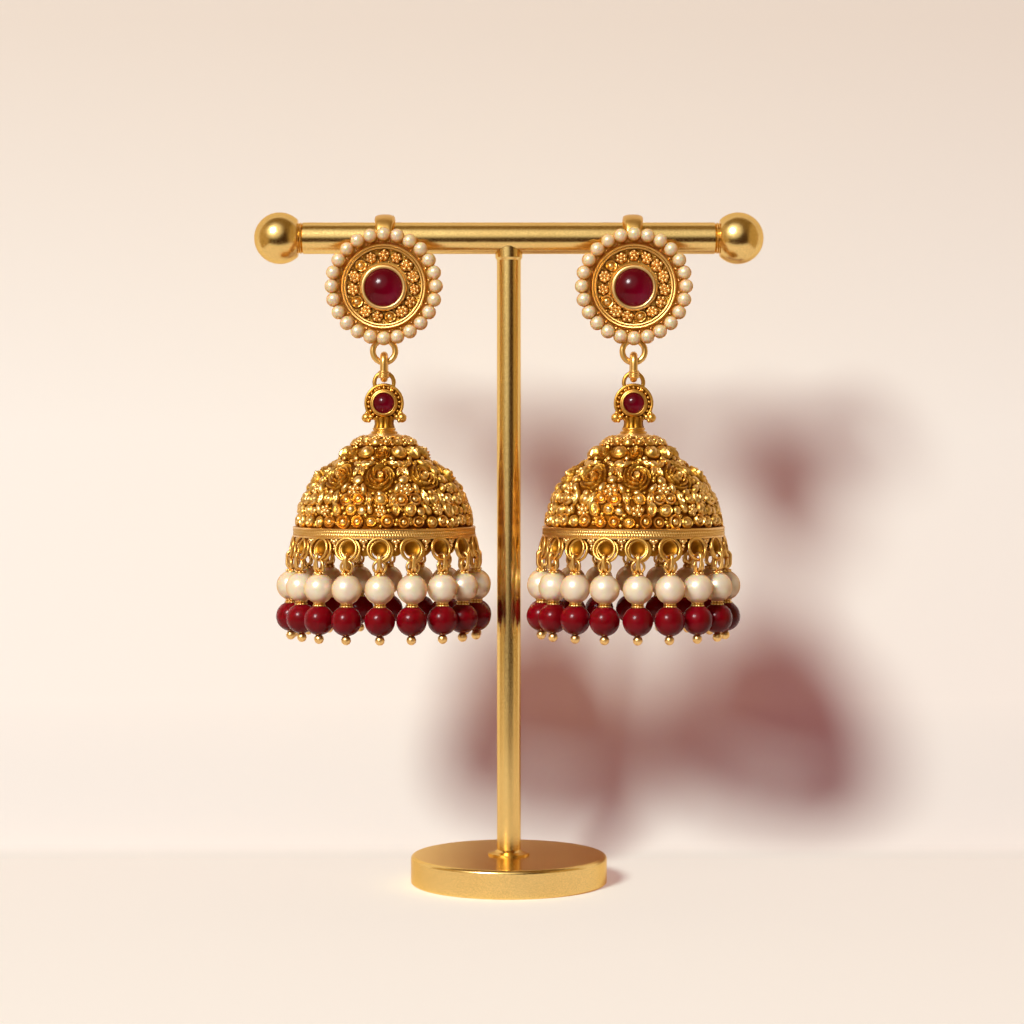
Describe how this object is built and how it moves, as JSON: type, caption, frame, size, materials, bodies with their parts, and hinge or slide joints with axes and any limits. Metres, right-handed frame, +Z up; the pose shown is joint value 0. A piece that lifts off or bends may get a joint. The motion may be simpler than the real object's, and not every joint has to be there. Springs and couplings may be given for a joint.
{
  "type": "pair of jhumka earrings on a t-bar stand",
  "caption": "Pair of bell-shaped jhumka earrings with ruby-red stones and pearl and red bead fringes, hung from a plain gold T-bar stand on a round foot.",
  "frame": {"origin": "centre of the underside of the stand's round foot", "axes": "+Z up along the post, X along the cross bar, -Y the way the earrings face"},
  "size_m": [0.081, 0.0365, 0.1071],
  "materials": {
    "stand_gold": "satin gold plate with a fine brushed grain",
    "antique_gold": "polished gold plate, darkened in the recesses",
    "pearl": "cream pearl lustre",
    "ruby_stone": "deep ruby cabochon, polished",
    "red_bead": "deep red glass, polished"
  },
  "bodies": {
    "stand": {"stand_base": "stand_gold", "stand_post": "stand_gold", "stand_bar": "stand_gold", "ball_left": "stand_gold", "ball_right": "stand_gold", "stud_setting_left": "antique_gold", "stud_stone_left": "ruby_stone", "stud_pearls_left": "pearl", "ear_hook_left": "antique_gold", "stud_setting_right": "antique_gold", "stud_stone_right": "ruby_stone", "stud_pearls_right": "pearl", "ear_hook_right": "antique_gold"},
    "link_left": {"link_left": "antique_gold"},
    "drop_left": {"connector_left": "antique_gold", "connector_stone_left": "ruby_stone", "dome_left": "antique_gold", "rim_left": "antique_gold", "bead_string_left_01": "red_bead", "bead_string_left_02": "red_bead", "bead_string_left_03": "red_bead", "bead_string_left_04": "red_bead", "bead_string_left_05": "red_bead", "bead_string_left_06": "red_bead", "bead_string_left_07": "red_bead", "bead_string_left_08": "red_bead", "bead_string_left_09": "red_bead", "bead_string_left_10": "red_bead", "bead_string_left_11": "red_bead", "bead_string_left_12": "red_bead", "bead_string_left_13": "red_bead", "bead_string_left_14": "red_bead", "bead_string_left_15": "red_bead", "bead_string_left_16": "red_bead", "bead_string_left_17": "red_bead", "bead_string_left_18": "red_bead"},
    "link_right": {"link_right": "antique_gold"},
    "drop_right": {"connector_right": "antique_gold", "connector_stone_right": "ruby_stone", "dome_right": "antique_gold", "rim_right": "antique_gold", "bead_string_right_01": "red_bead", "bead_string_right_02": "red_bead", "bead_string_right_03": "red_bead", "bead_string_right_04": "red_bead", "bead_string_right_05": "red_bead", "bead_string_right_06": "red_bead", "bead_string_right_07": "red_bead", "bead_string_right_08": "red_bead", "bead_string_right_09": "red_bead", "bead_string_right_10": "red_bead", "bead_string_right_11": "red_bead", "bead_string_right_12": "red_bead", "bead_string_right_13": "red_bead", "bead_string_right_14": "red_bead", "bead_string_right_15": "red_bead", "bead_string_right_16": "red_bead", "bead_string_right_17": "red_bead", "bead_string_right_18": "red_bead"}
  },
  "joints": [
    {"name": "side_swing_left", "type": "hinge", "parent": "stand", "child": "link_left", "pos_m": [-0.0197, -0.00375, 0.08428], "axis": [0, 1, 0], "range_deg": [-1, 45]},
    {"name": "fore_aft_swing_left", "type": "hinge", "parent": "link_left", "child": "drop_left", "pos_m": [-0.0197, -0.00375, 0.0815], "axis": [1, 0, 0], "range_deg": [-45, 45]},
    {"name": "side_swing_right", "type": "hinge", "parent": "stand", "child": "link_right", "pos_m": [0.0197, -0.00375, 0.08428], "axis": [0, -1, 0], "range_deg": [-1, 45]},
    {"name": "fore_aft_swing_right", "type": "hinge", "parent": "link_right", "child": "drop_right", "pos_m": [0.0197, -0.00375, 0.0815], "axis": [1, 0, 0], "range_deg": [-45, 45]}
  ]
}
